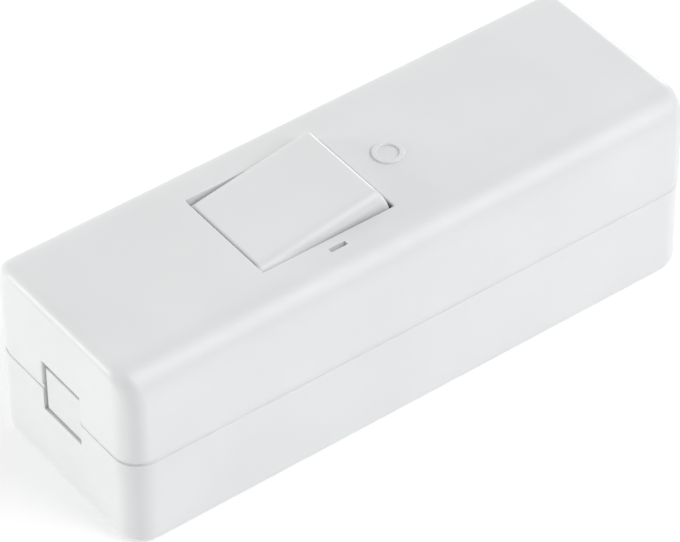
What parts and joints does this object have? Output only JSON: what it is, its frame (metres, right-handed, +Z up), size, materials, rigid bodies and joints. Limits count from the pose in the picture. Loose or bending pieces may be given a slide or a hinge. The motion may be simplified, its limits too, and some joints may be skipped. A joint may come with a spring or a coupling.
{
  "type": "inline cord switch",
  "caption": "Oblong two-part housing for a lamp cord with a tilting rocker set off centre on top, blanked cord entries in the ends, and a double-pole contact set inside.",
  "frame": {"origin": "centre of the housing's underside, on the surface it rests on", "axes": "+X along the housing from the end nearer the rocker to the other end, +Z up through the rocker, +Y to the back"},
  "size_m": [0.076, 0.026, 0.0268],
  "materials": {
    "shell": "satin white moulding",
    "rocker": "smooth white moulding",
    "insert": "white moulding",
    "plunger": "natural nylon",
    "brass": "stamped",
    "contact": "silver rivet",
    "steel": "zinc plated"
  },
  "bodies": {
    "housing": {"upper_shell": "shell", "lower_shell": "shell", "entry_plate_near": "insert", "entry_plate_far": "insert", "cord_clamp_near": "insert", "cord_clamp_far": "insert", "housing_screws": "steel", "terminal_screws": "steel", "clamp_screws": "steel", "feed_terminal_front": "brass", "feed_terminal_back": "brass", "load_terminal_front": "brass", "load_terminal_back": "brass", "fixed_contacts": "contact"},
    "rocker": {"rocker": "rocker", "plunger_spring_front": "steel", "plunger_spring_back": "steel"},
    "plunger_front": {"plunger_front": "plunger"},
    "plunger_back": {"plunger_back": "plunger"},
    "seesaw_front": {"seesaw_front": "brass", "moving_contact_front": "contact"},
    "seesaw_back": {"seesaw_back": "brass", "moving_contact_back": "contact"}
  },
  "joints": [
    {"name": "rocker_tilt", "type": "hinge", "parent": "housing", "child": "rocker", "pos_m": [-0.0077, 0, 0.0212], "axis": [0, 1, 0], "range_deg": [0, 17.7]},
    {"name": "plunger_front_slide", "type": "slide", "parent": "rocker", "child": "plunger_front", "axis": [-0.1538, 0, 0.9881], "range_m": [-0.0003, 0.0005], "stiffness_N_per_m": 200, "deforming": ["plunger_spring_front"]},
    {"name": "plunger_back_slide", "type": "slide", "parent": "rocker", "child": "plunger_back", "axis": [-0.1538, 0, 0.9881], "range_m": [-0.0003, 0.0005], "stiffness_N_per_m": 200, "deforming": ["plunger_spring_back"]},
    {"name": "seesaw_front_tip", "type": "hinge", "parent": "housing", "child": "seesaw_front", "pos_m": [-0.0077, -0.0035, 0.00955], "axis": [0, 1, 0], "range_deg": [-20, 0]},
    {"name": "seesaw_back_tip", "type": "hinge", "parent": "housing", "child": "seesaw_back", "pos_m": [-0.0077, 0.0035, 0.00955], "axis": [0, 1, 0], "range_deg": [-20, 0]}
  ],
  "couplings": [
    {"joint": "seesaw_front_tip", "follows": "rocker_tilt", "ratio": -1.1298},
    {"joint": "seesaw_back_tip", "follows": "rocker_tilt", "ratio": -1.1298}
  ]
}
